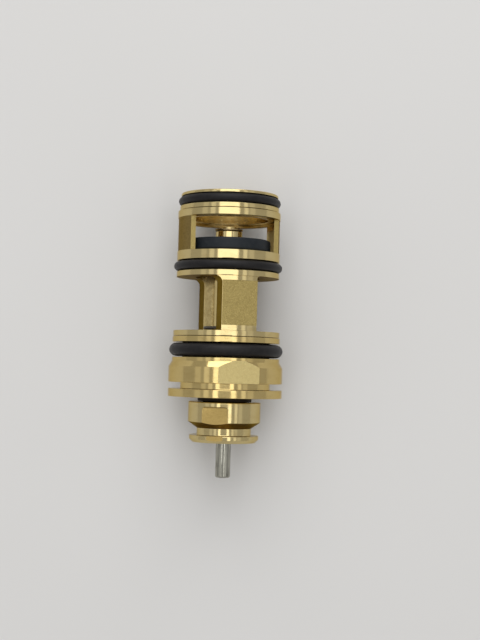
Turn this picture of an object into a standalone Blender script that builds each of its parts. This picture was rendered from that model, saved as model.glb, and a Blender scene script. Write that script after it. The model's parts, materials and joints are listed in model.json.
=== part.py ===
"""Diverter valve cartridge: a brass cage whose spring-returned spindle shuttles one rubber disc
between two seats. It lies on its side: the flow axis is Y, the open port faces +Y, the pin -Y.

Pieces are drawn about their own Z axis in millimetres, with heights measured from mid-length
towards the open port, and hang on two empties that lay that Z axis along the world's +Y.
"""

import math

import bmesh
import bpy

MM = 0.001
SIDES = 28
SMALL_SIDES = 20
GAP = 0.3
JOINT_LINE = 0.1
SHARP_ANGLE = math.radians(30)

# Outer diameter steps of the brass body, as radii
BAND_R = 10.25
LAND_R = 10.6
HEAD_LAND_R = 10.7
FLANGE_R = 11.35
CLIP_GROOVE_R = 8.95

# Water passages
PORT_R = 7.0
CAGE_BORE_R = 9.3
WAIST_BORE_R = 6.4

# Heights along the valve's axis
END_TOP = 28.2
BAND_SPLIT = 24.7
WINDOW_TOP = 23.3
BACK_WINDOW_TOP = 22.65
UPPER_SEAT = 23.15
SEAT_BORE_R = 7.8
LOWER_SEAT = 16.5
POCKET_TOP = 11.55
WAIST_TOP = 10.6
WAIST_FLOOR = 1.9
POCKET_FLOOR = 0.85
BODY_SPLIT = -0.25
HEAD_CONE = -5.15
HEAD_TOP = -6.25
HEAD_BOTTOM = -9.35
DISC_TOP = -10.6
DISC_BOTTOM = -12.2
NUT_TOP = -13.1
NUT_BOTTOM = -21.1
PIN_TIP = -28.2

# Milled faces
FRONT_WINDOW = 4.8
BACK_WINDOW = 3.1
PILLAR_HALF_WIDTH = 3.5
WAIST_APOTHEM = 9.7
WAIST_BLANK_R = 10.3
WAIST_FILLET = 1.4
HEAD_APOTHEM = 10.6
NUT_APOTHEM = 6.7
NUT_FLAT_TURN = math.radians(30)

# The nut's threaded spigot, which passes through the face seal into the head
GLAND_R = 4.3

# Running gear
STEM_R = 2.7
STEM_NECK_R = 1.6
STEM_BOTTOM = -6.0
PIN_R = 1.5
RUNNING_GAP = 0.08
SEAL_DISC_R = 8.4
SEAL_DISC_TOP = 19.1
SPRING_R = 4.6
SPRING_WIRE_R = 0.35
SPRING_TOP = -1.5
SPRING_BOTTOM = -8.6
SPRING_TURNS = 4.5

# Standard O-ring sections
SMALL_SECTION_R = 0.89
LARGE_SECTION_R = 1.31
PIN_SEAL_SECTION_R = 0.8

# The flange's lowest facet touches the surface that the valve lies on
AXIS_HEIGHT = FLANGE_R * math.cos(math.pi / SIDES)

BRASS = ((0.72, 0.56, 0.28), 1.0, 0.28)
BRASS_DARK = ((0.62, 0.47, 0.22), 1.0, 0.35)
STEEL = ((0.62, 0.62, 0.60), 1.0, 0.25)
SPRING_STEEL = ((0.55, 0.56, 0.57), 1.0, 0.3)
RUBBER = ((0.02, 0.02, 0.022), 0.0, 0.55)
SEAL_RUBBER = ((0.03, 0.035, 0.045), 0.0, 0.5)
FIBRE = ((0.05, 0.05, 0.05), 0.0, 0.7)
POLYMER = ((0.06, 0.055, 0.05), 0.0, 0.45)


def clear_scene():
    for obj in list(bpy.data.objects):
        bpy.data.objects.remove(obj, do_unlink=True)


def new_collection(name):
    collection = bpy.data.collections.new(name)
    bpy.context.scene.collection.children.link(collection)
    return collection


def new_axis(name, collection):
    """An empty on the valve's axis whose +Z points to the open port."""
    axis = bpy.data.objects.new(name, None)
    axis.location = (0, 0, AXIS_HEIGHT * MM)
    axis.rotation_euler = (-math.pi / 2, 0, 0)
    collection.objects.link(axis)
    return axis


def finish(name, look):
    """A material of its own for one piece."""
    color, metallic, roughness = look
    material = bpy.data.materials.new(name)
    material.use_nodes = True
    shader = material.node_tree.nodes["Principled BSDF"]
    shader.inputs["Base Color"].default_value = (*color, 1)
    shader.inputs["Metallic"].default_value = metallic
    shader.inputs["Roughness"].default_value = roughness
    return material


def add_object(name, mesh, parent, collection):
    obj = bpy.data.objects.new(name, mesh)
    obj.parent = parent
    collection.objects.link(obj)
    return obj


def ring_points(mean_r, section_r, height, sides=8):
    """A round section, walked from the top down its outer side."""
    turns = [math.pi / 2 - math.tau * (i + 0.5) / sides for i in range(sides)]
    return [(mean_r + section_r * math.cos(a), height + section_r * math.sin(a)) for a in turns]


def washer_points(inner_r, outer_r, top, bottom):
    return [(inner_r, top), (outer_r, top), (outer_r, bottom), (inner_r, bottom)]


class Builder:
    """Makes named pieces in one collection and their cutters in another."""

    def __init__(self, parts, cutters):
        self.parts = parts
        self.cutters = cutters

    def turned(self, name, outline, look, parent, sides=SIDES):
        """A solid of revolution. The outline is (radius, height) points, down its outer side first."""
        points = [(r * MM, 0, h * MM) for r, h in outline]
        solid = outline[0][0] == 0
        links = [(i, i + 1) for i in range(len(points) - 1)]
        if not solid:
            links.append((len(points) - 1, 0))
        mesh = bpy.data.meshes.new(name)
        mesh.from_pydata(points, links, [])
        mesh.materials.append(finish(name, look))
        obj = add_object(name, mesh, parent, self.parts)
        obj.rotation_euler = (0, 0, math.pi / sides)
        screw = obj.modifiers.new("Turn", "SCREW")
        screw.axis = "Z"
        screw.angle = math.tau
        screw.steps = sides
        screw.render_steps = sides
        screw.use_merge_vertices = True
        screw.merge_threshold = 0.00001
        return obj

    def box_cutter(self, name, parent, low, high, turn=0.0):
        """A box between two corners in millimetres, turned about the axis."""
        mesh = bpy.data.meshes.new(name)
        form = bmesh.new()
        bmesh.ops.create_cube(form, size=1)
        for vert in form.verts:
            for i in range(3):
                vert.co[i] = (low[i] if vert.co[i] < 0 else high[i]) * MM
        form.to_mesh(mesh)
        form.free()
        return self.hide(add_object(name, mesh, parent, self.cutters), turn)

    def outline_cutter(self, name, parent, outline, half_depth):
        """An (across, height) outline pushed both ways along the piece's Y."""
        mesh = bpy.data.meshes.new(name)
        form = bmesh.new()
        face = form.faces.new([form.verts.new((x * MM, -half_depth * MM, h * MM)) for x, h in outline])
        pushed = bmesh.ops.extrude_face_region(form, geom=[face])
        moved = [item for item in pushed["geom"] if isinstance(item, bmesh.types.BMVert)]
        bmesh.ops.translate(form, verts=moved, vec=(0, 2 * half_depth * MM, 0))
        bmesh.ops.recalc_face_normals(form, faces=form.faces)
        form.to_mesh(mesh)
        form.free()
        return self.hide(add_object(name, mesh, parent, self.cutters), 0.0)

    @staticmethod
    def hide(cutter, turn):
        cutter.rotation_euler = (0, 0, turn)
        cutter.hide_render = True
        cutter.display_type = "WIRE"
        return cutter

    @staticmethod
    def cut(obj, *cutters):
        for cutter in cutters:
            boolean = obj.modifiers.new(cutter.name, "BOOLEAN")
            boolean.operation = "DIFFERENCE"
            boolean.object = cutter

    def shade_round(self):
        """Applies the modifiers and shades the round faces smooth between their sharp edges."""
        depsgraph = bpy.context.evaluated_depsgraph_get()
        for obj in self.parts.objects:
            if obj.type != "MESH":
                continue
            mesh = bpy.data.meshes.new_from_object(obj.evaluated_get(depsgraph))
            mesh.name = obj.name
            mesh.shade_smooth()
            mesh.set_sharp_from_angle(angle=SHARP_ANGLE)
            obj.modifiers.clear()
            obj.data = mesh


def waist_pocket(side):
    """The milled pocket on one side of the waist, rounded where it meets the upper flange."""
    far = BAND_R + 2
    corner_x = PILLAR_HALF_WIDTH + WAIST_FILLET
    corner_h = POCKET_TOP - WAIST_FILLET
    steps = 4
    arc = []
    for i in range(steps + 1):
        angle = math.pi - math.pi / 2 * i / steps
        x = corner_x + WAIST_FILLET * math.cos(angle)
        arc.append((side * x, corner_h + WAIST_FILLET * math.sin(angle)))
    floor = [(side * far, POCKET_FLOOR), (side * PILLAR_HALF_WIDTH, POCKET_FLOOR)]
    return [*floor, *arc, (side * far, POCKET_TOP)]


def cage_body(make, axis):
    """The main brass turning: cage, middle land, waist and the threaded spigot below it."""
    groove_r = 8.72
    spigot_r = 7.3
    outline = [
        (BAND_R, BAND_SPLIT - JOINT_LINE / 2), (BAND_R, 14.75), (groove_r, 14.75), (groove_r, 12.6),
        (BAND_R, 12.6), (BAND_R, 11.5), (10.0, 11.5), (10.0, WAIST_TOP), (WAIST_BLANK_R, WAIST_TOP),
        (WAIST_BLANK_R, WAIST_FLOOR), (10.2, WAIST_FLOOR), (10.2, 0.9), (LAND_R, 0.9),
        (LAND_R, BODY_SPLIT + JOINT_LINE / 2), (spigot_r, BODY_SPLIT + JOINT_LINE / 2),
        (spigot_r, -5.0), (WAIST_BORE_R, -5.0), (WAIST_BORE_R, -0.8), (3.75, -0.8), (3.75, 1.2),
        (WAIST_BORE_R, 1.2), (WAIST_BORE_R, LOWER_SEAT), (CAGE_BORE_R, LOWER_SEAT),
        (CAGE_BORE_R, BAND_SPLIT - JOINT_LINE / 2),
    ]
    body = make.turned("cage_body", outline, BRASS, axis)
    far = BAND_R + 2
    front = make.box_cutter(
        "front_window", axis, (-far, -far, LOWER_SEAT), (far, -FRONT_WINDOW, WINDOW_TOP))
    back = make.box_cutter(
        "back_window", axis, (-far, BACK_WINDOW, LOWER_SEAT), (far, far, BACK_WINDOW_TOP))
    pockets = [
        make.outline_cutter(f"waist_pocket_{word}", axis, waist_pocket(side), far)
        for word, side in (("left", -1), ("right", 1))
    ]
    flats = [
        make.box_cutter(
            f"waist_flat_{word}", axis,
            (-far, side * WAIST_APOTHEM if side > 0 else -far, WAIST_FLOOR),
            (far, far if side > 0 else -WAIST_APOTHEM, WAIST_TOP))
        for word, side in (("front", -1), ("back", 1))
    ]
    make.cut(body, front, back, *pockets, *flats)


def head_body(make, axis):
    """The head: large O-ring groove, spanner flange, clip groove and end disc around the spring."""
    top = BODY_SPLIT - JOINT_LINE / 2
    groove_r = 8.4
    bore_r = GLAND_R + GAP
    outline = [
        (HEAD_LAND_R, top), (HEAD_LAND_R, -1.4), (groove_r, -1.4), (groove_r, -4.4),
        (HEAD_LAND_R, -4.4), (HEAD_LAND_R, HEAD_CONE), (FLANGE_R, HEAD_TOP), (FLANGE_R, HEAD_BOTTOM),
        (CLIP_GROOVE_R, HEAD_BOTTOM), (CLIP_GROOVE_R, DISC_TOP), (FLANGE_R, DISC_TOP),
        (FLANGE_R, DISC_BOTTOM), (bore_r, DISC_BOTTOM), (bore_r, -10.3), (6.6, -10.3), (6.6, -5.3),
        (7.6, -5.3), (7.6, top),
    ]
    body = make.turned("head_body", outline, BRASS, axis)
    far = FLANGE_R + 2
    low_h, high_h = HEAD_BOTTOM - 0.4, HEAD_CONE + 0.2
    make.cut(
        body,
        make.box_cutter("head_flat_front", axis, (-far, -far, low_h), (far, -HEAD_APOTHEM, high_h)),
        make.box_cutter("head_flat_back", axis, (-far, HEAD_APOTHEM, low_h), (far, far, high_h)))


def end_seat_ring(make, axis):
    """The screwed-in end ring: its inner end is the upper seat, its bore the open port."""
    groove_r = 8.15
    bottom = BAND_SPLIT + JOINT_LINE / 2
    outline = [
        (PORT_R, END_TOP), (9.3, END_TOP), (9.7, END_TOP - 0.4), (9.7, 27.65), (groove_r, 27.65),
        (groove_r, 25.65), (9.9, 25.65), (9.9, bottom), (CAGE_BORE_R - GAP, bottom),
        (CAGE_BORE_R - GAP, WINDOW_TOP), (8.8, UPPER_SEAT), (SEAT_BORE_R, UPPER_SEAT),
        (SEAT_BORE_R, 25.0), (PORT_R, 25.2),
    ]
    make.turned("end_seat_ring", outline, BRASS, axis)


def gland_nut(make, axis):
    """The gland nut, with two spanner flats and a cavity for the pin's seals."""
    cavity_r = 3.6
    bore_r = PIN_R + RUNNING_GAP
    outline = [
        (GLAND_R, -10.6), (GLAND_R, NUT_TOP), (7.2, NUT_TOP), (7.2, -17.1), (5.4, -18.3),
        (5.4, -19.7), (6.9, -19.7), (6.9, -20.5), (6.3, NUT_BOTTOM), (bore_r, NUT_BOTTOM), (bore_r, -17.6),
        (cavity_r, -17.6), (cavity_r, -10.6),
    ]
    nut = make.turned("gland_nut", outline, BRASS, axis)
    far = 9.0
    flats = [
        make.box_cutter(
            f"nut_flat_{word}", axis,
            (-far, NUT_APOTHEM if side > 0 else -far, NUT_BOTTOM - 1),
            (far, far if side > 0 else -NUT_APOTHEM, -14.0),
            -NUT_FLAT_TURN)
        for word, side in (("front", -1), ("back", 1))
    ]
    make.cut(nut, *flats)


def body_seals(make, axis):
    for name, outer_r, section_r, height in (
        ("end_o_ring", 10.2, SMALL_SECTION_R, 26.65),
        ("middle_o_ring", 10.8, SMALL_SECTION_R, 13.67),
        ("head_o_ring", 11.3, LARGE_SECTION_R, -2.9),
    ):
        make.turned(name, ring_points(outer_r - section_r, section_r, height), RUBBER, axis)
    seal = washer_points(GLAND_R + GAP, 5.4, DISC_BOTTOM - JOINT_LINE, NUT_TOP + JOINT_LINE)
    make.turned("gland_face_seal", seal, FIBRE, axis)


def gland_packing(make, axis):
    """The stack inside the nut: washer, seal, spacer, seal."""
    inner_r = PIN_R + RUNNING_GAP
    outer_r = 3.3
    make.turned(
        "gland_washer", washer_points(inner_r, outer_r, -11.0, -11.8), BRASS_DARK, axis, SMALL_SIDES)
    make.turned(
        "seal_spacer", washer_points(inner_r, outer_r, -14.1, -15.1), POLYMER, axis, SMALL_SIDES)
    for name, height in (("upper_pin_seal", -12.95), ("lower_pin_seal", -16.3)):
        outline = ring_points(inner_r + PIN_SEAL_SECTION_R, PIN_SEAL_SECTION_R, height)
        make.turned(name, outline, RUBBER, axis, SMALL_SIDES)


def stem_guide(make, axis):
    """The flanged bush that guides the stem, and the washer that the spring pushes on."""
    bore_r = STEM_R + RUNNING_GAP
    outline = [
        (bore_r, 1.8), (4.6, 1.8), (4.6, 1.3), (3.6, 1.3), (3.6, -0.75), (bore_r, -0.75),
    ]
    make.turned("stem_guide_bush", outline, POLYMER, axis)
    make.turned("spring_seat_washer", washer_points(3.5, 6.0, -0.9, -1.3), STEEL, axis)


def stem(make, spindle):
    """The brass stem: a guided shank, a shoulder under the disc and a grooved tip above it."""
    clip_top, clip_bottom = 21.35, 20.95
    outline = [
        (0, 21.75), (1.3, 21.75), (STEM_NECK_R, 21.55), (STEM_NECK_R, clip_top), (1.2, clip_top),
        (1.2, clip_bottom), (STEM_NECK_R, clip_bottom), (STEM_NECK_R, 15.4), (STEM_R, 15.4),
        (STEM_R, STEM_BOTTOM), (PIN_R + 0.1, STEM_BOTTOM), (PIN_R + 0.1, -2.0), (0, -2.0),
    ]
    make.turned("stem", outline, BRASS, spindle)


def actuator_pin(make, spindle):
    """The steel pin that the actuator pushes, with a groove for the collar's circlip."""
    outline = [
        (0, -2.2), (PIN_R, -2.2), (PIN_R, -9.65), (1.15, -9.65), (1.15, -10.1), (PIN_R, -10.1),
        (PIN_R, PIN_TIP + 0.7), (1.0, PIN_TIP), (0, PIN_TIP),
    ]
    make.turned("actuator_pin", outline, STEEL, spindle, SMALL_SIDES)


def disc_stack(make, spindle):
    """What the stem's tip carries: backing washer, rubber disc, hub and retaining clip."""
    bore_r = STEM_NECK_R + 0.1
    make.turned(
        "disc_backing_washer", washer_points(bore_r, 5.6, 16.45, 15.5), BRASS_DARK, spindle)
    disc_bottom = LOWER_SEAT + 0.2
    disc = [
        (bore_r, SEAL_DISC_TOP), (SEAL_DISC_R - 0.3, SEAL_DISC_TOP), (SEAL_DISC_R, SEAL_DISC_TOP - 0.3),
        (SEAL_DISC_R, disc_bottom + 0.3), (SEAL_DISC_R - 0.3, disc_bottom), (bore_r, disc_bottom),
    ]
    make.turned("seal_disc", disc, SEAL_RUBBER, spindle)
    make.turned("disc_hub", washer_points(bore_r, 2.65, 20.85, 19.2), BRASS, spindle, SMALL_SIDES)


def clip_ring(make, name, inner_r, outer_r, top, thickness, spindle):
    """A split retaining ring: a washer with a notch out of one side."""
    ring = make.turned(
        name, washer_points(inner_r, outer_r, top, top - thickness), SPRING_STEEL, spindle, SMALL_SIDES)
    mouth = inner_r * 0.7
    notch = make.box_cutter(
        f"{name}_mouth", spindle, (-mouth, 0, top - thickness - 1), (mouth, outer_r + 1, top + 1))
    make.cut(ring, notch)


def spring_carrier(make, spindle):
    """The collar that carries the spring's lower end, held up on the pin by a circlip."""
    bore_r = PIN_R + 0.1
    outline = [
        (bore_r, -8.0), (3.2, -8.0), (3.2, -8.75), (5.6, -8.75), (5.6, -9.5), (bore_r, -9.5),
    ]
    make.turned("spring_collar", outline, BRASS_DARK, spindle)


def return_spring(make, axis):
    """A round-wire compression spring with its end turns laid closer together."""
    points_per_turn = 14
    count = int(SPRING_TURNS * points_per_turn)
    low = SPRING_BOTTOM + SPRING_WIRE_R
    high = SPRING_TOP - SPRING_WIRE_R
    curve = bpy.data.curves.new("spring_path", "CURVE")
    curve.dimensions = "3D"
    curve.bevel_depth = SPRING_WIRE_R * MM
    curve.bevel_resolution = 2
    curve.use_fill_caps = True
    curve.materials.append(finish("return_spring", SPRING_STEEL))
    spline = curve.splines.new("POLY")
    spline.points.add(count)
    for i, point in enumerate(spline.points):
        share = i / count
        eased = share - 0.55 * math.sin(math.tau * share) / math.tau
        angle = math.tau * SPRING_TURNS * share
        height = low + (high - low) * eased
        point.co = (SPRING_R * math.cos(angle) * MM, SPRING_R * math.sin(angle) * MM, height * MM, 1)
    obj = bpy.data.objects.new("return_spring", curve)
    obj.parent = axis
    make.parts.objects.link(obj)


def main():
    clear_scene()
    parts = new_collection("diverter_valve")
    cutters = new_collection("cutters")
    make = Builder(parts, cutters)
    axis = new_axis("valve_axis", parts)
    spindle = new_axis("spindle_axis", parts)

    cage_body(make, axis)
    head_body(make, axis)
    end_seat_ring(make, axis)
    gland_nut(make, axis)
    body_seals(make, axis)
    gland_packing(make, axis)
    stem_guide(make, axis)
    return_spring(make, axis)

    stem(make, spindle)
    actuator_pin(make, spindle)
    disc_stack(make, spindle)
    clip_ring(make, "stem_retaining_clip", 1.3, 2.8, 21.3, 0.3, spindle)
    spring_carrier(make, spindle)
    clip_ring(make, "pin_circlip", 1.25, 2.8, -9.7, 0.35, spindle)
    make.shade_round()


main()
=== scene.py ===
# Looks of the diverter valve cartridge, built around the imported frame.
# Lengths in the settings are millimetres, heights run along the valve from mid-length to the open port.
import json
import math

import bmesh
import bpy
from mathutils import Matrix, Vector

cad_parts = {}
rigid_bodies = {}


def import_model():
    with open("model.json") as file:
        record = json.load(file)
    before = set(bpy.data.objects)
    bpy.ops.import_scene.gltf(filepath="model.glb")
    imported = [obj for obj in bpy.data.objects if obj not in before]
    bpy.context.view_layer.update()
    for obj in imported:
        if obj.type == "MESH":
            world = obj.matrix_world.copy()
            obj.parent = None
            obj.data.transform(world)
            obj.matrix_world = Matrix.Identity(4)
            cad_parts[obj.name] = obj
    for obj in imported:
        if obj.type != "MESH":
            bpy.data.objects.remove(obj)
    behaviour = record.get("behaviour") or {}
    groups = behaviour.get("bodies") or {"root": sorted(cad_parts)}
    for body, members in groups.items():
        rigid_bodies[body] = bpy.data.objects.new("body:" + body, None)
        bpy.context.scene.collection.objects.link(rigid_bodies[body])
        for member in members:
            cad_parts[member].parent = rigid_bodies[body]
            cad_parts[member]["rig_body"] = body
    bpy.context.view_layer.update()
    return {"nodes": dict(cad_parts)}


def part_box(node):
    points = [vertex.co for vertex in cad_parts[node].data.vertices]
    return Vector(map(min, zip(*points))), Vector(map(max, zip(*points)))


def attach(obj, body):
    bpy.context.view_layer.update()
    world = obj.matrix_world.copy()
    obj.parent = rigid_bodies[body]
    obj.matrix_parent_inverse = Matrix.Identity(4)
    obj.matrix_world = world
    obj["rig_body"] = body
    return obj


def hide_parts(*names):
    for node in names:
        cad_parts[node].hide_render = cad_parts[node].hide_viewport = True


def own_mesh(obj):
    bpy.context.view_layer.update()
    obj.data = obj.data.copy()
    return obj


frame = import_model()
print("frame loaded:", len(frame["nodes"]), "nodes")

mm = 0.001
axisHeight = sum(corner.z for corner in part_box("actuator_pin")) / 2
axisPoint = Vector((0, 0, axisHeight))
layDown = Matrix.Translation(axisPoint) @ Matrix.Rotation(-math.pi / 2, 4, "X")


def nodeEnds(node):
    low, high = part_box(node)
    return low.y / mm, high.y / mm


def nodeRadius(node):
    low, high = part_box(node)
    return (high.x - low.x) / 2 / mm


class Wire:
    # a socket that can be used in sums
    def __init__(self, nodes, socket):
        self.nodes = nodes
        self.socket = socket

    def math(self, operation, other):
        return self.nodes.add("ShaderNodeMath", {"operation": operation}, {0: self, 1: other})

    def __add__(self, other):
        return self.math("ADD", other)

    def __mul__(self, other):
        return self.math("MULTIPLY", other)

    def __pow__(self, other):
        return self.math("POWER", other)

    __radd__ = __add__
    __rmul__ = __mul__


class Nodes:
    # the node tree of one material
    def __init__(self, name):
        self.material = bpy.data.materials.new(name)
        self.material.use_nodes = True
        self.tree = self.material.node_tree
        self.tree.nodes.clear()

    def add(self, kind, settings=None, inputs=None, output=0):
        node = self.tree.nodes.new(kind)
        for key, value in (settings or {}).items():
            setattr(node, key, value)
        for key, value in (inputs or {}).items():
            if isinstance(value, Wire):
                self.tree.links.new(value.socket, node.inputs[key])
            else:
                node.inputs[key].default_value = value
        return Wire(self, node.outputs[output])

    def objectPoint(self):
        # millimetres from the valve's axis at mid-length
        place = self.add("ShaderNodeTexCoord", output=3)
        centred = self.add(
            "ShaderNodeVectorMath", {"operation": "SUBTRACT"}, {0: place, 1: tuple(axisPoint)})
        return self.add("ShaderNodeVectorMath", {"operation": "SCALE"}, {0: centred, "Scale": 1 / mm})

    def parts(self, vector):
        split = self.add("ShaderNodeSeparateXYZ", None, {0: vector})
        return [Wire(self, socket) for socket in split.socket.node.outputs]

    def vector(self, x, y, z):
        return self.add("ShaderNodeCombineXYZ", None, {0: x, 1: y, 2: z})

    def noise(self, vector, scale, detail=2.0, roughness=0.5):
        return self.add("ShaderNodeTexNoise", {"noise_dimensions": "3D"}, {
            "Vector": vector, "Scale": scale, "Detail": detail, "Roughness": roughness})

    def level(self, value, low, high):
        # 0 below low, 1 above high
        return self.add("ShaderNodeMapRange", {"clamp": True}, {
            "Value": value, "From Min": low, "From Max": high, "To Min": 0.0, "To Max": 1.0})

    def mixColor(self, share, first, second):
        mix = self.add("ShaderNodeMix", {"data_type": "RGBA"}, {0: share})
        node = mix.socket.node
        for slot, value in ((6, first), (7, second)):
            if isinstance(value, Wire):
                self.tree.links.new(value.socket, node.inputs[slot])
            else:
                node.inputs[slot].default_value = value
        return Wire(self, node.outputs[2])

    def bump(self, height, strength, distance):
        return self.add("ShaderNodeBump", None, {
            "Height": height, "Strength": strength, "Distance": distance * mm})

    def surface(self, **sockets):
        shader = self.tree.nodes.new("ShaderNodeBsdfPrincipled")
        for name, value in sockets.items():
            socket = shader.inputs[name.replace("_", " ")]
            if isinstance(value, Wire):
                self.tree.links.new(value.socket, socket)
            else:
                socket.default_value = value
        end = self.tree.nodes.new("ShaderNodeOutputMaterial")
        self.tree.links.new(shader.outputs[0], end.inputs[0])
        return self.material


turnedBrass = {
    "color": (0.606, 0.491, 0.241, 1), "stain": (0.467, 0.343, 0.139, 1), "stainShare": 0.35,
    "rim": (0.85, 0.76, 0.55, 1), "speckShare": 0.22, "roughness": 0.10, "roughnessSpread": 0.10,
    "ringPitch": 0.11, "ringDepth": 0.0016, "stainSize": 0.32, "speckSize": 2.6,
}
# the head is a warmer brass
headBrass = {**turnedBrass, "color": (0.61, 0.47, 0.20, 1), "stain": (0.44, 0.31, 0.11, 1)}


def makeTurnedBrass(name, settings):
    # lathe rings run round the axis, faint stains drift over them
    nodes = Nodes(name)
    point = nodes.objectPoint()
    x, y, z = nodes.parts(point)
    radius = (x * x + z * z) ** 0.5
    pitch = 1 / settings["ringPitch"]
    rings = nodes.noise(nodes.vector(radius * pitch, y * pitch, 0.0), 1.0, 2.0, 0.6)
    drawn = nodes.vector(x, y * 2.2, z)
    stain = nodes.level(nodes.noise(drawn, settings["stainSize"], 4.0, 0.62), 0.50, 0.72)
    speck = nodes.level(nodes.noise(point, settings["speckSize"], 3.0, 0.6), 0.60, 0.75)
    color = nodes.mixColor(stain * settings["stainShare"], settings["color"], settings["stain"])
    color = nodes.mixColor(speck * settings["speckShare"], color, settings["stain"])
    rough = settings["roughness"] + (stain * 0.5 + speck * 0.3 + rings * 0.2) * settings["roughnessSpread"]
    normal = nodes.bump(rings, 0.5, settings["ringDepth"])
    return nodes.surface(
        Base_Color=color, Metallic=1.0, Roughness=rough, Specular_Tint=settings["rim"], Normal=normal)


# the spanner flats are the cleanest, the cage's outside the dullest; the copies for the windows, waist
# flats, waist hollows and cage's outside are also darkened as painted shade;
# rim tints what shines at a glancing angle, grain is how many marks there are to a millimetre
milledBrass = {"color": (0.64, 0.53, 0.24, 1), "pit": (0.46, 0.35, 0.14, 1), "rim": (0.85, 0.78, 0.6, 1),
               "roughness": 0.27, "grain": 6.0, "grainDepth": 0.009}
nutBrass = {"color": (0.50, 0.36, 0.13, 1), "pit": (0.35, 0.24, 0.08, 1), "rim": (0.7, 0.6, 0.4, 1),
            "roughness": 0.28, "grain": 6.0, "grainDepth": 0.012}
# darker than the milled copy: real grain of the casting, plus painted shade for the recessed waist flats and
# window cuts
castAndShadeBrass = {"color": (0.41, 0.32, 0.12, 1), "pit": (0.24, 0.175, 0.06, 1), "rim": (0.6, 0.48, 0.26, 1),
             "roughness": 0.25, "grain": 5.0, "grainDepth": 0.022}
# the cage's outside between the lands: a rough unturned surface, plus painted shade
rawAndShadeBrass = {"color": (0.28, 0.205, 0.08, 1), "pit": (0.165, 0.115, 0.045, 1), "rim": (0.66, 0.55, 0.38, 1),
            "roughness": 0.36, "grain": 3.0, "grainDepth": 0.035}
# painted shade for the hollowed sides of the waist, the land's underside and the nut's chamfer cone
pocketShadeBrass = {"color": (0.33, 0.245, 0.09, 1), "pit": (0.20, 0.135, 0.045, 1), "rim": (0.50, 0.40, 0.24, 1),
               "roughness": 0.3, "grain": 2.4, "grainDepth": 0.02}
boreBrass = {"color": (0.72, 0.57, 0.27, 1), "pit": (0.52, 0.39, 0.16, 1), "rim": (0.85, 0.72, 0.5, 1),
             "roughness": 0.16, "grain": 1.4, "grainDepth": 0.006}
bronze = {"color": (0.365, 0.277, 0.146, 1), "pit": (0.219, 0.146, 0.066, 1), "rim": (0.7, 0.56, 0.34, 1),
          "roughness": 0.22, "grain": 2.0, "grainDepth": 0.01}


def makeMilledBrass(name, settings):
    # the casting's unworked grain left under a light skim of the cutter
    nodes = Nodes(name)
    point = nodes.objectPoint()
    grain = nodes.noise(point, settings["grain"], 4.0, 0.7)
    coarse = nodes.noise(point, settings["grain"] * 0.3, 2.0, 0.5)
    pits = nodes.level(grain, 0.38, 0.66)
    dull = pits * 0.6 + nodes.level(coarse, 0.45, 0.7) * 0.2
    color = nodes.mixColor(dull, settings["color"], settings["pit"])
    rough = settings["roughness"] + pits * 0.12
    normal = nodes.bump(grain + coarse * 0.5, 0.75, settings["grainDepth"])
    return nodes.surface(
        Base_Color=color, Metallic=1.0, Roughness=rough, Specular_Tint=settings["rim"], Normal=normal)


blackRubber = {"color": (0.00657, 0.00584, 0.00657, 1), "dust": (0.0248, 0.0219, 0.0212, 1),
               "roughness": 0.45, "shine": 0.24}
discRubber = {"color": (0.0073, 0.0109, 0.0153, 1), "dust": (0.0263, 0.0307, 0.035, 1),
              "roughness": 0.5, "shine": 0.27}
sealFibre = {"color": (0.020, 0.015, 0.010, 1), "dust": (0.05, 0.037, 0.022, 1),
             "roughness": 0.6, "shine": 0.2}


def makeRubber(name, settings):
    # handling dust lies in patches over a fine moulded grain
    nodes = Nodes(name)
    point = nodes.objectPoint()
    dust = nodes.level(nodes.noise(point, 1.1, 4.0, 0.7), 0.45, 0.75)
    fine = nodes.noise(point, 9.0, 2.0, 0.5)
    color = nodes.mixColor(dust * 0.5, settings["color"], settings["dust"])
    rough = settings["roughness"] + dust * 0.18
    normal = nodes.bump(fine, 0.35, 0.006)
    return nodes.surface(
        Base_Color=color, Metallic=0.0, Roughness=rough, Specular_IOR_Level=settings["shine"], Normal=normal)


pinSteel = {"color": (0.394, 0.387, 0.329, 1), "shade": (0.09, 0.088, 0.075, 1), "roughness": 0.09}
springSteel = {"color": (0.423, 0.431, 0.438, 1), "shade": (0.248, 0.248, 0.241, 1), "roughness": 0.24}


def makeDrawnSteel(name, settings):
    # drawing marks run along the valve
    nodes = Nodes(name)
    point = nodes.objectPoint()
    x, y, z = nodes.parts(point)
    drawn = nodes.noise(nodes.vector(x * 6.0, y * 0.25, z * 6.0), 1.0, 3.0, 0.6)
    smear = nodes.noise(point, 0.9, 3.0, 0.6)
    shade = nodes.level(drawn, 0.5, 0.66) * 0.7 + nodes.level(smear, 0.5, 0.75) * 0.25
    color = nodes.mixColor(shade, settings["color"], settings["shade"])
    rough = settings["roughness"] + shade * 0.2
    normal = nodes.bump(drawn, 0.4, 0.003)
    return nodes.surface(Base_Color=color, Metallic=1.0, Roughness=rough, Normal=normal)


polymer = {"color": (0.0365, 0.0328, 0.0292, 1), "shade": (0.0657, 0.0548, 0.0438, 1), "roughness": 0.4}


def makePolymer(name, settings):
    # turned from rod, so it keeps faint tool rings
    nodes = Nodes(name)
    point = nodes.objectPoint()
    x, y, z = nodes.parts(point)
    radius = (x * x + z * z) ** 0.5
    rings = nodes.noise(nodes.vector(radius * 7.0, y * 7.0, 0.0), 1.0, 2.0, 0.5)
    cloud = nodes.noise(point, 0.8, 3.0, 0.5)
    color = nodes.mixColor(cloud, settings["color"], settings["shade"])
    rough = settings["roughness"] + cloud * 0.1
    normal = nodes.bump(rings, 0.3, 0.004)
    return nodes.surface(Base_Color=color, Metallic=0.0, Roughness=rough, Normal=normal)


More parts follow.
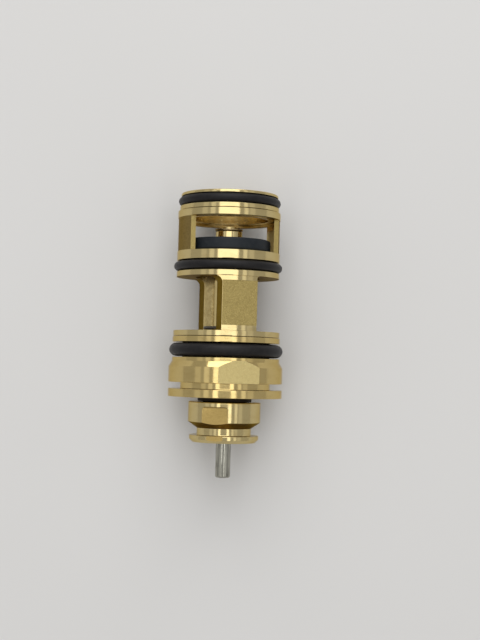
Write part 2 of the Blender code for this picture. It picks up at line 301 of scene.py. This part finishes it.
materials = {
    "turned": makeTurnedBrass("turnedBrass", turnedBrass),
    "head": makeTurnedBrass("headBrass", headBrass),
    "milled": makeMilledBrass("milledBrass", milledBrass),
    "nutFlat": makeMilledBrass("nutBrass", nutBrass),
    "cast": makeMilledBrass("castAndShadeBrass", castAndShadeBrass),
    "raw": makeMilledBrass("rawAndShadeBrass", rawAndShadeBrass),
    "pocketShade": makeMilledBrass("pocketShadeBrass", pocketShadeBrass),
    "bore": makeMilledBrass("boreBrass", boreBrass),
    "bronze": makeMilledBrass("bronze", bronze),
    "rubber": makeRubber("blackRubber", blackRubber),
    "fibre": makeRubber("sealFibre", sealFibre),
    "disc": makeRubber("discRubber", discRubber),
    "pin": makeDrawnSteel("pinSteel", pinSteel),
    "spring": makeDrawnSteel("springSteel", springSteel),
    "polymer": makePolymer("polymer", polymer),
}
print("materials made")


def roundedOutline(points, steps=4, guard=0.05):
    # points are (radius, height, rounding), walked down the outer side of a closed section;
    # a guard point beyond each rounding keeps the long faces flat in the shading
    rounded = []
    count = len(points)
    for i, (r, h, size) in enumerate(points):
        corner = Vector((r, h))
        if not size:
            rounded.append(corner)
            continue
        before = Vector(points[i - 1][:2]) - corner
        after = Vector(points[(i + 1) % count][:2]) - corner
        half = before.angle(after) / 2
        reach = min(size / math.tan(half), before.length * 0.4, after.length * 0.4)
        ahead, behind = before.normalized(), after.normalized()
        start = corner + ahead * reach
        end = corner + behind * reach
        rounded.append(start + ahead * min(guard, before.length * 0.08))
        for k in range(steps + 1):
            share = k / steps
            first = start.lerp(corner, share)
            rounded.append(first.lerp(corner.lerp(end, share), share))
        rounded.append(end + behind * min(guard, after.length * 0.08))
    return rounded


def objectFrom(name, form, material):
    mesh = bpy.data.meshes.new(name)
    form.to_mesh(mesh)
    form.free()
    mesh.materials.append(material)
    obj = bpy.data.objects.new(name, mesh)
    bpy.context.scene.collection.objects.link(obj)
    return obj


def revolve(name, points, material, sides=160, steps=4):
    # turns a closed section about the valve's axis
    outline = roundedOutline(points, steps)
    form = bmesh.new()
    columns = []
    for i in range(sides):
        angle = math.tau * (i + 0.5) / sides
        columns.append([
            None if p.x < 1e-6 else form.verts.new((p.x * math.cos(angle), p.x * math.sin(angle), p.y))
            for p in outline])
    poles = [form.verts.new((0, 0, p.y)) if p.x < 1e-6 else None for p in outline]
    for i in range(sides):
        here, there = columns[i], columns[(i + 1) % sides]
        for k in range(len(outline)):
            n = (k + 1) % len(outline)
            if poles[k] and poles[n]:
                continue
            ring = [
                here[k] or poles[k], here[n] or poles[n], there[n] or poles[n], there[k] or poles[k]]
            corners = [v for j, v in enumerate(ring) if v not in ring[:j]]
            form.faces.new(corners)
    bmesh.ops.recalc_face_normals(form, faces=form.faces)
    form.transform(layDown @ Matrix.Scale(mm, 4))
    return objectFrom(name, form, material)


def block(name, low, high, turn=0.0, look="milled", corners=0.0, fillet=0.0):
    # a cutter between two corners, across, along and up, turned about the axis;
    # the fillet is what it leaves where its upper end meets its floor
    form = bmesh.new()
    bmesh.ops.create_cube(form, size=1)
    for vert in form.verts:
        for i in range(3):
            vert.co[i] = low[i] if vert.co[i] < 0 else high[i]
    if corners:
        upright = [e for e in form.edges if abs(e.verts[0].co.z - e.verts[1].co.z) > 1]
        bmesh.ops.bevel(form, geom=upright, offset=corners, segments=5, affect="EDGES", profile=0.5)
    if fillet:
        ledge = [e for e in form.edges if all(
            v.co.z < low[2] + 0.01 and v.co.y > high[1] - corners - 0.01 for v in e.verts)]
        bmesh.ops.bevel(form, geom=ledge, offset=fillet, segments=4, affect="EDGES", profile=0.5)
    form.transform(Matrix.Translation(axisPoint) @ Matrix.Rotation(turn, 4, "Y") @ Matrix.Scale(mm, 4))
    return cutterFrom(name, form, look)


def cutterFrom(name, form, look):
    # the cut surfaces take the cutter's finish
    bmesh.ops.recalc_face_normals(form, faces=form.faces)
    return objectFrom(name, form, materials[look])


def bake(obj):
    # modifiers become plain mesh
    graph = bpy.context.evaluated_depsgraph_get()
    mesh = bpy.data.meshes.new_from_object(obj.evaluated_get(graph))
    obj.modifiers.clear()
    obj.data = mesh
    return obj


def mill(obj, cutters):
    # takes each cutter out of the piece, and removes the cutters
    for cutter in cutters:
        cut = obj.modifiers.new(cutter.name, "BOOLEAN")
        cut.operation = "DIFFERENCE"
        cut.object = cutter
        cut.solver = "EXACT"
        cut.material_mode = "TRANSFER"
    bake(obj)
    for cutter in cutters:
        bpy.data.objects.remove(cutter)
    return obj


def repaint(obj, look, test):
    # gives another finish to the faces that the test picks by radius, height and how far they face outward
    mesh = obj.data
    mesh.materials.append(materials[look])
    for face in mesh.polygons:
        out = face.center - axisPoint
        height = out.y / mm
        out.y = 0
        radius = out.length
        facing = face.normal.dot(out) / radius if radius > 1e-9 else 0.0
        if test(radius / mm, height, facing):
            face.material_index = len(mesh.materials) - 1
    return obj


def paintBore(obj):
    return repaint(obj, "bore", lambda radius, height, facing: facing < -0.3)


def complete(obj, body, node, sharp=32):
    # smooth shading, with sharp edges where the form turns or the finish changes
    mesh = obj.data
    mesh.shade_smooth()
    mesh.set_sharp_from_angle(angle=math.radians(sharp))
    form = bmesh.new()
    form.from_mesh(mesh)
    for edge in form.edges:
        if len({face.material_index for face in edge.link_faces}) > 1:
            edge.smooth = False
    form.to_mesh(mesh)
    form.free()
    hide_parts(node)
    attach(obj, body)
    return obj


def bodyOf(node):
    return frame["nodes"][node]["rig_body"]


jointLine = 0.1  # left open where two brass pieces meet

cage = {
    "bandRadius": 10.25, "bore": 9.3, "waistBore": 6.4, "landTop": 16.5, "seatRim": 23.3,
    "grooveRadius": 9.02, "grooveTop": 14.75, "grooveBottom": 12.6, "landBottom": 11.5,
    "reliefRadius": 9.85, "reliefBottom": 11.38, "collarRadius": 10.0, "waistTop": 10.6, "waistFloor": 1.9,
    "blankRadius": 10.3, "lowCollarRadius": 10.2, "lowCollarBottom": 0.9, "headLandRadius": 10.6,
    "spigotRadius": 7.3, "spigotBottom": -5.0, "webTop": 1.2, "webBottom": -0.8, "guideBore": 3.75,
    "frontFace": 4.8, "backFace": 3.1, "backSeatRim": 22.65, "pillarHalf": 3.5, "pillarFace": 9.7,
    "pocketTop": 11.55, "pocketFloor": 0.85, "leftFillet": 1.4, "rightFillet": 0.6,
    "rawRadius": 10.12, "rawInset": 0.08,
}


def pocketCutter(name, side, fillet, c):
    # hollows one side of the waist and leaves a rounded corner under the middle land; the cut faces are
    # darkened as painted shade
    far = c["bandRadius"] + 2
    cornerX, cornerY = c["pillarHalf"] + fillet, c["pocketTop"] - fillet
    steps = 12
    outline = [(far, c["pocketFloor"]), (c["pillarHalf"], c["pocketFloor"])]
    for i in range(steps + 1):
        angle = math.pi - math.pi / 2 * i / steps
        outline.append((cornerX + fillet * math.cos(angle), cornerY + fillet * math.sin(angle)))
    outline.append((far, c["pocketTop"]))
    form = bmesh.new()
    face = form.faces.new([form.verts.new((side * a, b, -far)) for a, b in outline])
    pushed = bmesh.ops.extrude_face_region(form, geom=[face])
    moved = [item for item in pushed["geom"] if isinstance(item, bmesh.types.BMVert)]
    bmesh.ops.translate(form, verts=moved, vec=(0, 0, 2 * far))
    form.transform(Matrix.Translation(axisPoint) @ Matrix.Scale(mm, 4))
    return cutterFrom(name, form, "pocketShade")


def makeCage(c):
    bandTop = nodeEnds("cage_body")[1]
    split = nodeEnds("head_body")[1] + jointLine
    rawTop, rawBottom = c["seatRim"] - c["rawInset"], c["landTop"] + c["rawInset"]
    body = revolve("cageBody", [
        (c["bandRadius"], bandTop, 0.12),
        (c["bandRadius"], rawTop, 0.04), (c["rawRadius"], rawTop, 0.03),
        (c["rawRadius"], rawBottom, 0.03), (c["bandRadius"], rawBottom, 0.04),
        (c["bandRadius"], c["grooveTop"], 0.1),
        (c["grooveRadius"], c["grooveTop"], 0.12), (c["grooveRadius"], c["grooveBottom"], 0.12),
        (c["bandRadius"], c["grooveBottom"], 0.1), (c["bandRadius"], c["landBottom"], 0.08),
        (c["reliefRadius"], c["landBottom"], 0.0), (c["reliefRadius"], c["reliefBottom"], 0.0),
        (c["collarRadius"], c["reliefBottom"], 0.03), (c["collarRadius"], c["waistTop"], 0.0),
        (c["blankRadius"], c["waistTop"], 0.0), (c["blankRadius"], c["waistFloor"], 0.0),
        (c["lowCollarRadius"], c["waistFloor"], 0.0), (c["lowCollarRadius"], c["lowCollarBottom"], 0.05),
        (c["headLandRadius"], c["lowCollarBottom"], 0.1), (c["headLandRadius"], split, 0.08),
        (c["spigotRadius"], split, 0.1), (c["spigotRadius"], c["spigotBottom"], 0.2),
        (c["waistBore"], c["spigotBottom"], 0.1), (c["waistBore"], c["webBottom"], 0.1),
        (c["guideBore"], c["webBottom"], 0.05), (c["guideBore"], c["webTop"], 0.05),
        (c["waistBore"], c["webTop"], 0.1), (c["waistBore"], c["landTop"], 0.15),
        (c["bore"], c["landTop"], 0.1), (c["bore"], bandTop, 0.1),
    ], materials["turned"], sides=192, steps=3)
    far = c["bandRadius"] + 2
    face = c["pillarFace"]
    # the window and waist-flat cuts take the darker copy with the casting's grain, partly painted shade
    mill(paintBore(body), [
        block("frontWindow", (-far, c["landTop"], c["frontFace"]), (far, c["seatRim"], far), look="cast"),
        block("backWindow", (-far, c["landTop"], -far), (far, c["backSeatRim"], -c["backFace"]),
              look="cast"),
        pocketCutter("rightPocket", 1, c["rightFillet"], c),
        pocketCutter("leftPocket", -1, c["leftFillet"], c),
        block("frontFlat", (-far, c["waistFloor"], face), (far, c["waistTop"], far), look="cast"),
        block("backFlat", (-far, c["waistFloor"], -far), (far, c["waistTop"], -face), look="cast"),
    ])
    # the cage's outside between the lands is darkened, partly as painted shade
    return repaint(body, "raw", lambda radius, height, facing: (
        facing > 0.9 and radius < c["bandRadius"] - 0.06 and c["landTop"] < height < c["seatRim"]))


complete(makeCage(cage), "cartridge", "cage_body")
print("cage made")

head = {
    "landRadius": 10.7, "grooveRadius": 8.68, "grooveTop": -1.4, "grooveBottom": -4.4, "coneTop": -5.15,
    "coneBottom": -6.25, "flangeRadius": 11.35, "flangeBottom": -9.35, "clipRadius": 8.95, "discTop": -10.6,
    "glandBore": 4.6, "chamberFloor": -10.3, "chamber": 6.6, "socketFloor": -5.3, "socket": 7.6,
    "flatFace": 10.6,
}


def makeHead(c):
    bottom, top = nodeEnds("head_body")
    body = revolve("headBody", [
        (c["landRadius"], top, 0.08), (c["landRadius"], c["grooveTop"], 0.1),
        (c["grooveRadius"], c["grooveTop"], 0.15), (c["grooveRadius"], c["grooveBottom"], 0.15),
        (c["landRadius"], c["grooveBottom"], 0.08), (c["landRadius"], c["coneTop"], 0.1),
        (c["flangeRadius"], c["coneBottom"], 0.12), (c["flangeRadius"], c["flangeBottom"], 0.12),
        (c["clipRadius"], c["flangeBottom"], 0.15), (c["clipRadius"], c["discTop"], 0.15),
        (c["flangeRadius"], c["discTop"], 0.12), (c["flangeRadius"], bottom, 0.15),
        (c["glandBore"], bottom, 0.2), (c["glandBore"], c["chamberFloor"], 0.1),
        (c["chamber"], c["chamberFloor"], 0.2), (c["chamber"], c["socketFloor"], 0.1),
        (c["socket"], c["socketFloor"], 0.1), (c["socket"], top, 0.15),
    ], materials["head"], sides=192, steps=3)
    far = c["flangeRadius"] + 2
    low, high = c["flangeBottom"] - 0.4, c["coneTop"] + 0.2
    return mill(paintBore(body), [
        block("frontSpannerFlat", (-far, low, c["flatFace"]), (far, high, far)),
        block("backSpannerFlat", (-far, low, -far), (far, high, -c["flatFace"])),
    ])


complete(makeHead(head), "cartridge", "head_body")
print("head made")

endRing = {
    "lipRadius": 9.7, "lipBottom": 27.65, "grooveRadius": 8.42, "grooveBottom": 25.65, "bandRadius": 9.9,
    "port": 7.0, "spigotRadius": 9.0, "rim": 23.3, "rimRadius": 8.8, "seatBore": 7.8, "stepTop": 25.2,
}


def makeEndRing(c):
    bottom, top = nodeEnds("end_seat_ring")
    bandBottom = nodeEnds("cage_body")[1] + jointLine
    ring = revolve("endSeatRing", [
        (c["port"], top, 0.25), (c["lipRadius"], top, 0.35), (c["lipRadius"], c["lipBottom"], 0.08),
        (c["grooveRadius"], c["lipBottom"], 0.12), (c["grooveRadius"], c["grooveBottom"], 0.12),
        (c["bandRadius"], c["grooveBottom"], 0.1), (c["bandRadius"], bandBottom, 0.08),
        (c["spigotRadius"], bandBottom, 0.05), (c["spigotRadius"], c["rim"], 0.04),
        (c["rimRadius"], bottom, 0.05), (c["seatBore"], bottom, 0.12),
        (c["seatBore"], c["stepTop"] - 0.2, 0.08), (c["port"], c["stepTop"], 0.08),
    ], materials["turned"], sides=192)
    return repaint(ring, "bore", lambda radius, height, facing: (
        facing < -0.3 or height < c["rim"] + 0.2))


complete(makeEndRing(endRing), "cartridge", "end_seat_ring")

nut = {
    "spigotRadius": 4.3, "radius": 7.2, "chamferTop": -17.1, "chamferBottom": -18.3, "neckRadius": 5.4,
    "neckBottom": -19.7, "lipRadius": 6.9, "lipBottom": -20.5, "endRadius": 6.3, "bore": 1.58,
    "cavity": 3.6, "cavityFloor": -17.6, "flatFace": 6.7, "flatTop": -14.0, "flatTurn": -30,
    "flatWidth": 5.6, "flatCorner": 0.7, "flatFillet": 0.3,
}


def makeNut(c):
    bottom, spigotTop = nodeEnds("gland_nut")
    top = nodeEnds("gland_face_seal")[0] - jointLine
    body = revolve("glandNut", [
        (c["spigotRadius"], spigotTop, 0.15), (c["spigotRadius"], top, 0.1), (c["radius"], top, 0.25),
        (c["radius"], c["chamferTop"], 0.15), (c["neckRadius"], c["chamferBottom"], 0.2),
        (c["neckRadius"], c["neckBottom"], 0.15), (c["lipRadius"], c["neckBottom"], 0.12),
        (c["lipRadius"], c["lipBottom"], 0.1), (c["endRadius"], bottom, 0.1), (c["bore"], bottom, 0.15),
        (c["bore"], c["cavityFloor"], 0.05), (c["cavity"], c["cavityFloor"], 0.1),
        (c["cavity"], spigotTop, 0.15),
    ], materials["turned"], sides=160)
    far = c["radius"] + 2
    turn = math.radians(c["flatTurn"])
    half = c["flatWidth"] / 2
    paintBore(body)
    # the chamfer cone, facing away from the lights, is darkened as painted shade
    repaint(body, "pocketShade", lambda radius, height, facing: (
        c["chamferBottom"] < height < c["chamferTop"] and 0.3 < facing < 0.9))
    return mill(body, [
        block("frontNutFlat", (-half, bottom - 1, c["flatFace"]), (half, c["flatTop"], far), turn,
              "nutFlat", c["flatCorner"], c["flatFillet"]),
        block("backNutFlat", (-half, bottom - 1, -far), (half, c["flatTop"], -c["flatFace"]), turn,
              "nutFlat", c["flatCorner"]),
    ])


complete(makeNut(nut), "cartridge", "gland_nut")
print("end ring and gland nut made")


class Graph:
    # a Geometry Nodes tree with named inputs
    def __init__(self, name, inputs):
        self.tree = bpy.data.node_groups.new(name, "GeometryNodeTree")
        face = self.tree.interface
        face.new_socket(name="Geometry", in_out="OUTPUT", socket_type="NodeSocketGeometry")
        self.sockets = {}
        for label, (kind, value) in inputs.items():
            socket = face.new_socket(name=label, in_out="INPUT", socket_type=kind)
            if value is not None:
                socket.default_value = value
            self.sockets[label] = socket.identifier
        self.start = self.tree.nodes.new("NodeGroupInput")
        self.end = self.tree.nodes.new("NodeGroupOutput")

    def add(self, kind, settings=None, inputs=None, output=0):
        node = self.tree.nodes.new(kind)
        for key, value in (settings or {}).items():
            setattr(node, key, value)
        for key, value in (inputs or {}).items():
            if isinstance(value, bpy.types.NodeSocket):
                self.tree.links.new(value, node.inputs[key])
            else:
                node.inputs[key].default_value = value
        return node.outputs[output]

    def given(self, label):
        return self.start.outputs[label]

    def sum(self, operation, first, second=0.0):
        return self.add("ShaderNodeMath", {"operation": operation}, {0: first, 1: second})

    def close(self, geometry, material):
        real = self.add("GeometryNodeRealizeInstances", None, {0: geometry})
        painted = self.add("GeometryNodeSetMaterial", None, {0: real, "Material": material})
        self.tree.links.new(painted, self.end.inputs[0])


def sweepCurve(graph, line, thickness):
    section = graph.add("GeometryNodeCurvePrimitiveCircle", None, {
        "Resolution": 20, "Radius": thickness})
    return graph.add("GeometryNodeCurveToMesh", None, {
        "Curve": line, "Profile Curve": section, "Fill Caps": True})


def ringGraph():
    graph = Graph("oRing", {
        "Ring radius": ("NodeSocketFloat", 10.0), "Section radius": ("NodeSocketFloat", 0.9),
        "Flash": ("NodeSocketFloat", 0.01), "Material": ("NodeSocketMaterial", None)})
    line = graph.add("GeometryNodeCurvePrimitiveCircle", None, {
        "Resolution": 160, "Radius": graph.given("Ring radius")})
    tube = sweepCurve(graph, line, graph.given("Section radius"))
    # the mould's flash line stands a hair proud round the outside
    place = graph.add("GeometryNodeInputPosition")
    split = graph.add("ShaderNodeSeparateXYZ", None, {0: place}).node.outputs
    away = graph.sum("ABSOLUTE", split[2])
    near = graph.sum("LESS_THAN", away, 0.05)
    flat = graph.add("ShaderNodeCombineXYZ", None, {0: split[0], 1: split[1], 2: 0.0})
    reach = graph.add("ShaderNodeVectorMath", {"operation": "NORMALIZE"}, {0: flat})
    push = graph.add("ShaderNodeVectorMath", {"operation": "SCALE"}, {
        0: reach, "Scale": graph.given("Flash")})
    moved = graph.add("GeometryNodeSetPosition", None, {0: tube, "Selection": near, "Offset": push})
    graph.close(moved, graph.given("Material"))
    return graph


def springGraph():
    graph = Graph("coilSpring", {
        "Coil radius": ("NodeSocketFloat", 4.6), "Wire radius": ("NodeSocketFloat", 0.35),
        "Turns": ("NodeSocketFloat", 4.5), "Length": ("NodeSocketFloat", 6.0),
        "Closing": ("NodeSocketFloat", 0.55), "Material": ("NodeSocketMaterial", None)})
    line = graph.add("GeometryNodeCurvePrimitiveLine", None, {"Start": (0, 0, 0), "End": (0, 0, 1)})
    fine = graph.add("GeometryNodeResampleCurve", None, {0: line, "Count": 320})
    share = graph.add("GeometryNodeSplineParameter")
    turn = graph.sum("MULTIPLY", share, math.tau)
    wave = graph.sum("MULTIPLY", graph.sum("SINE", turn), graph.given("Closing"))
    eased = graph.sum("SUBTRACT", share, graph.sum("DIVIDE", wave, math.tau))
    angle = graph.sum("MULTIPLY", turn, graph.given("Turns"))
    across = graph.sum("MULTIPLY", graph.sum("COSINE", angle), graph.given("Coil radius"))
    up = graph.sum("MULTIPLY", graph.sum("SINE", angle), graph.given("Coil radius"))
    height = graph.sum("MULTIPLY", eased, graph.given("Length"))
    place = graph.add("ShaderNodeCombineXYZ", None, {0: across, 1: up, 2: height})
    coiled = graph.add("GeometryNodeSetPosition", None, {0: fine, "Position": place})
    graph.close(sweepCurve(graph, coiled, graph.given("Wire radius")), graph.given("Material"))
    return graph


def grow(name, graph, values, height):
    # runs a tree, then lays its result on the valve's axis
    obj = bpy.data.objects.new(name, bpy.data.meshes.new(name))
    bpy.context.scene.collection.objects.link(obj)
    modifier = obj.modifiers.new("Grow", "NODES")
    modifier.node_group = graph.tree
    for label, value in values.items():
        modifier[graph.sockets[label]] = value
    bpy.context.view_layer.update()
    bake(obj)
    obj.data.transform(layDown @ Matrix.Scale(mm, 4) @ Matrix.Translation((0, 0, height)))
    return obj


oRings = {
    "end_o_ring": {"outer": 10.2, "section": 0.89, "height": 26.65},
    "middle_o_ring": {"outer": 10.8, "section": 0.89, "height": 13.67},
    "head_o_ring": {"outer": 11.3, "section": 1.31, "height": -2.9},
    "upper_pin_seal": {"outer": 3.18, "section": 0.8, "height": -12.95},
    "lower_pin_seal": {"outer": 3.18, "section": 0.8, "height": -16.3},
}
ringTree = ringGraph()
for node, ring in oRings.items():
    name = "".join(word if i == 0 else word.capitalize() for i, word in enumerate(node.split("_")))
    rubberRing = grow(name, ringTree, {
        "Ring radius": ring["outer"] - ring["section"], "Section radius": ring["section"],
        "Flash": 0.012, "Material": materials["rubber"]}, ring["height"])
    complete(rubberRing, "cartridge", node, sharp=60)
print("rubber rings made")

springWire = {"coil": 4.6, "wire": 0.35, "turns": 4.5, "closing": 0.55}


def makeSpring(c):
    low, high = nodeEnds("return_spring")
    return grow("returnSpring", springGraph(), {
        "Coil radius": c["coil"], "Wire radius": c["wire"], "Turns": c["turns"], "Closing": c["closing"],
        "Length": high - low - 2 * c["wire"], "Material": materials["spring"]}, low + c["wire"])


spring = complete(makeSpring(springWire), "cartridge", "return_spring", sharp=60)
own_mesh(spring)
print("spring made")


disc = {"bore": 1.7, "rounding": 0.45}


def makeDisc(c):
    low, high = nodeEnds("seal_disc")
    radius = nodeRadius("seal_disc")
    return revolve("sealDisc", [
        (c["bore"], high, 0.05), (radius, high, c["rounding"]), (radius, low, c["rounding"]),
        (c["bore"], low, 0.05),
    ], materials["disc"], sides=128, steps=6)


hub = {"bore": 1.7, "radius": 2.65}


def makeHub(c):
    low, high = nodeEnds("disc_hub")
    return revolve("discHub", [
        (c["bore"], high, 0.05), (c["radius"], high, 0.12), (c["radius"], low, 0.1), (c["bore"], low, 0.05),
    ], materials["turned"], sides=96)


stem = {
    "tip": 1.6, "clipTop": 21.35, "clipBottom": 20.95, "clipRadius": 1.2, "shoulder": 15.4, "shaft": 2.7,
    "socketRadius": 1.6, "socketTop": -2.0,
}


def makeStem(c):
    low, high = nodeEnds("stem")
    return revolve("stemShaft", [
        (0, high, 0.0), (c["tip"], high, 0.2), (c["tip"], c["clipTop"], 0.03),
        (c["clipRadius"], c["clipTop"], 0.03), (c["clipRadius"], c["clipBottom"], 0.03),
        (c["tip"], c["clipBottom"], 0.03), (c["tip"], c["shoulder"], 0.1), (c["shaft"], c["shoulder"], 0.15),
        (c["shaft"], low, 0.15), (c["socketRadius"], low, 0.05), (c["socketRadius"], c["socketTop"], 0.05),
        (0, c["socketTop"], 0.0),
    ], materials["turned"], sides=96)


pin = {"radius": 1.5, "clipRadius": 1.15, "clipTop": -9.65, "clipBottom": -10.1, "tipRounding": 0.55}


def makePin(c):
    low, high = nodeEnds("actuator_pin")
    return revolve("actuatorPin", [
        (0, high, 0.0), (c["radius"], high, 0.1), (c["radius"], c["clipTop"], 0.03),
        (c["clipRadius"], c["clipTop"], 0.03), (c["clipRadius"], c["clipBottom"], 0.03),
        (c["radius"], c["clipBottom"], 0.03), (c["radius"], low, c["tipRounding"]), (0, low, 0.0),
    ], materials["pin"], sides=96, steps=6)


bush = {"bore": 2.78, "flange": 4.6, "flangeTop": 1.8, "flangeBottom": 1.3, "radius": 3.6, "bottom": -0.75}


def makeBush(c):
    return revolve("stemGuideBush", [
        (c["bore"], c["flangeTop"], 0.15), (c["flange"], c["flangeTop"], 0.1),
        (c["flange"], c["flangeBottom"], 0.08), (c["radius"], c["flangeBottom"], 0.05),
        (c["radius"], c["bottom"], 0.15), (c["bore"], c["bottom"], 0.15),
    ], materials["polymer"], sides=112)


collar = {"bore": 1.6, "neck": 3.2, "top": -8.0, "flange": 5.6, "flangeTop": -8.75, "bottom": -9.5}


def makeCollar(c):
    return revolve("springCollar", [
        (c["bore"], c["top"], 0.1), (c["neck"], c["top"], 0.15), (c["neck"], c["flangeTop"], 0.1),
        (c["flange"], c["flangeTop"], 0.12), (c["flange"], c["bottom"], 0.12), (c["bore"], c["bottom"], 0.1),
    ], materials["turned"], sides=112)


def makeWasher(name, node, inner, look, rounding=0.08):
    low, high = nodeEnds(node)
    outer = nodeRadius(node)
    return revolve(name, [
        (inner, high, rounding), (outer, high, rounding), (outer, low, rounding), (inner, low, rounding),
    ], materials[look], sides=112)


def makeSplitRing(name, node, inner, look):
    # a stamped ring whose mouth faces down
    low, high = nodeEnds(node)
    ring = makeWasher(name, node, inner, look, 0.06)
    mouth = inner * 0.7
    return mill(ring, [
        block(name + "Mouth", (-mouth, low - 1, -nodeRadius(node) - 1), (mouth, high + 1, 0), look=look)])


smallParts = {
    "seal_disc": makeDisc(disc),
    "disc_hub": makeHub(hub),
    "stem": makeStem(stem),
    "actuator_pin": makePin(pin),
    "disc_backing_washer": makeWasher("discBackingWasher", "disc_backing_washer", disc["bore"], "turned"),
    "gland_face_seal": makeWasher("glandFaceSeal", "gland_face_seal", head["glandBore"], "fibre"),
    "gland_washer": makeWasher("glandWasher", "gland_washer", nut["bore"], "turned"),
    "seal_spacer": makeWasher("sealSpacer", "seal_spacer", nut["bore"], "polymer"),
    "spring_seat_washer": makeWasher("springSeatWasher", "spring_seat_washer", 3.5, "spring", 0.05),
    "stem_guide_bush": makeBush(bush),
    "spring_collar": makeCollar(collar),
    "stem_retaining_clip": makeSplitRing("stemRetainingClip", "stem_retaining_clip", 1.3, "bronze"),
    "pin_circlip": makeSplitRing("pinCirclip", "pin_circlip", 1.25, "spring"),
}
for node, piece in smallParts.items():
    complete(piece, bodyOf(node), node)
print("spindle and small parts made")


# the valve has rolled a little, so the table and the view are turned about its axis;
# foot and aside are where the camera stands over the valve
view = {
    "roll": -15, "lens": 70.65, "sensor": 36, "foot": -6.4, "aside": 2.65, "distance": 250.8,
    "lean": 2.21, "twist": 1.54, "nearest": 0.01,
}
rolled = Matrix.Translation(axisPoint) @ Matrix.Rotation(math.radians(view["roll"]), 4, "Y")

table = {"halfWidth": 1.5, "drop": 11.36, "color": (0.61, 0.604, 0.594, 1), "cloud": (0.635, 0.63, 0.622, 1),
         "roughness": 0.6, "shine": 0.2}


def makeTable(c):
    nodes = Nodes("paleTable")
    place = nodes.add("ShaderNodeTexCoord", output=3)
    cloud = nodes.noise(place, 14.0, 3.0, 0.5)
    color = nodes.mixColor(cloud, c["color"], c["cloud"])
    material = nodes.surface(
        Base_Color=color, Metallic=0.0, Roughness=c["roughness"], Specular_IOR_Level=c["shine"])
    form = bmesh.new()
    bmesh.ops.create_grid(form, x_segments=1, y_segments=1, size=c["halfWidth"])
    form.transform(rolled @ Matrix.Translation((0, 0, -c["drop"] * mm)))
    obj = objectFrom("table", form, material)


# soft panels around the valve; across and along are degrees from straight above, the rest is metres,
# and glow is what a mirror would show of the panel
panels = {
    "overheadFar": {"size": (0.76, 0.9), "shift": (0, 0.45), "glow": 1.5},
    "overheadLeft": {"size": (0.172, 0.9), "shift": (-0.294, -0.45), "glow": 1.5},
    "overheadRight": {"size": (0.172, 0.9), "shift": (0.294, -0.45), "glow": 1.5},
    "leftStrip": {"across": -36.5, "size": (0.173, 1.2), "glow": 0.45},
    "rightStrip": {"across": 38, "size": (0.142, 1.2), "glow": 0.57},
    "leftFill": {"across": -55.5, "size": (0.205, 1.2), "glow": 0.2},
    "rightFill": {"across": 53, "size": (0.205, 1.2), "glow": 0.2},
    "farEnd": {"along": -58, "size": (0.9, 0.5), "glow": 2.4},
}


def addPanel(name, size, glow, across=0.0, along=0.0, shift=(0, 0), distance=0.9):
    light = bpy.data.lights.new(name, "AREA")
    light.shape = "RECTANGLE"
    light.size, light.size_y = size
    light.energy = glow * math.pi * size[0] * size[1]
    obj = bpy.data.objects.new(name, light)
    bpy.context.scene.collection.objects.link(obj)
    turn = Matrix.Rotation(math.radians(across), 4, "Y") @ Matrix.Rotation(math.radians(along), 4, "X")
    obj.matrix_world = rolled @ turn @ Matrix.Translation((*shift, distance))


room = {"color": (1, 0.99, 0.975, 1), "strength": 0.49}


def makeRoom(c):
    world = bpy.data.worlds.new("room")
    world.use_nodes = True
    background = world.node_tree.nodes["Background"]
    background.inputs["Color"].default_value = c["color"]
    background.inputs["Strength"].default_value = c["strength"]
    bpy.context.scene.world = world
    bpy.context.scene.view_settings.view_transform = "Standard"  # keeps the brass yellow where it shines


def placeCamera(c):
    camera = bpy.data.cameras.new("camera")
    camera.lens = c["lens"]
    camera.sensor_width = c["sensor"]
    camera.clip_start = c["nearest"]
    obj = bpy.data.objects.new("camera", camera)
    bpy.context.scene.collection.objects.link(obj)
    stand = Matrix.Translation((c["aside"] * mm, c["foot"] * mm, c["distance"] * mm))
    lean = Matrix.Rotation(math.radians(c["lean"]), 4, "X")
    twist = Matrix.Rotation(math.radians(c["twist"]), 4, "Z")
    obj.matrix_world = rolled @ stand @ lean @ twist
    bpy.context.scene.camera = obj


makeTable(table)
for name, panel in panels.items():
    addPanel(name, **panel)
makeRoom(room)
placeCamera(view)
print("table, lights and camera placed")
